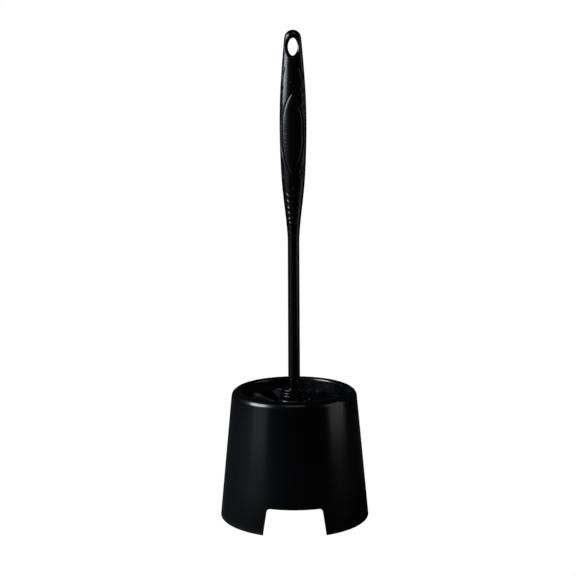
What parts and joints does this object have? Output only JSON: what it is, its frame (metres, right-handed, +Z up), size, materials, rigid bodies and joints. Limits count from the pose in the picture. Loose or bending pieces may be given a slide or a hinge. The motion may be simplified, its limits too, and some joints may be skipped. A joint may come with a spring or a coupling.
{
  "type": "toilet brush with holder",
  "caption": "Toilet brush with a long swelling grip, standing in the well of a conical plastic holder with a rolled rim and notches in its foot.",
  "frame": {"origin": "on the floor, under the middle of the holder", "axes": "+Z up along the brush; the holder's notches face -Y, the front, and +Y"},
  "size_m": [0.115, 0.111, 0.37],
  "materials": {
    "holder_plastic": "semi-gloss moulded polypropylene, black",
    "brush_plastic": "semi-gloss moulded polypropylene, black",
    "bristles": "extruded polypropylene filament, black",
    "staple_wire": "bright drawn wire, hidden in the core"
  },
  "bodies": {
    "holder": {"holder_shell": "holder_plastic"},
    "brush": {"handle": "brush_plastic", "brush_head": "brush_plastic", "tuft_1_1": "bristles", "tuft_1_2": "bristles", "tuft_1_3": "bristles", "tuft_1_4": "bristles", "tuft_1_5": "bristles", "tuft_1_6": "bristles", "tuft_1_7": "bristles", "tuft_1_8": "bristles", "tuft_2_1": "bristles", "tuft_2_2": "bristles", "tuft_2_3": "bristles", "tuft_2_4": "bristles", "tuft_2_5": "bristles", "tuft_2_6": "bristles", "tuft_2_7": "bristles", "tuft_2_8": "bristles", "tuft_3_1": "bristles", "tuft_3_2": "bristles", "tuft_3_3": "bristles", "tuft_3_4": "bristles", "tuft_3_5": "bristles", "tuft_3_6": "bristles", "tuft_3_7": "bristles", "tuft_3_8": "bristles", "tuft_4_1": "bristles", "tuft_4_2": "bristles", "tuft_4_3": "bristles", "tuft_4_4": "bristles", "tuft_4_5": "bristles", "tuft_4_6": "bristles", "tuft_4_7": "bristles", "tuft_4_8": "bristles", "tuft_5_1": "bristles", "tuft_5_2": "bristles", "tuft_5_3": "bristles", "tuft_5_4": "bristles", "tuft_5_5": "bristles", "tuft_5_6": "bristles", "tuft_5_7": "bristles", "tuft_5_8": "bristles", "end_tuft_1": "bristles", "end_tuft_2": "bristles", "end_tuft_3": "bristles", "end_tuft_4": "bristles", "end_tuft_5": "bristles", "end_tuft_6": "bristles", "end_tuft_middle": "bristles"}
  },
  "joints": [
    {"name": "brush_lift", "type": "slide", "parent": "holder", "child": "brush", "axis": [0, 0, 1], "range_m": [0, 0.11]}
  ]
}
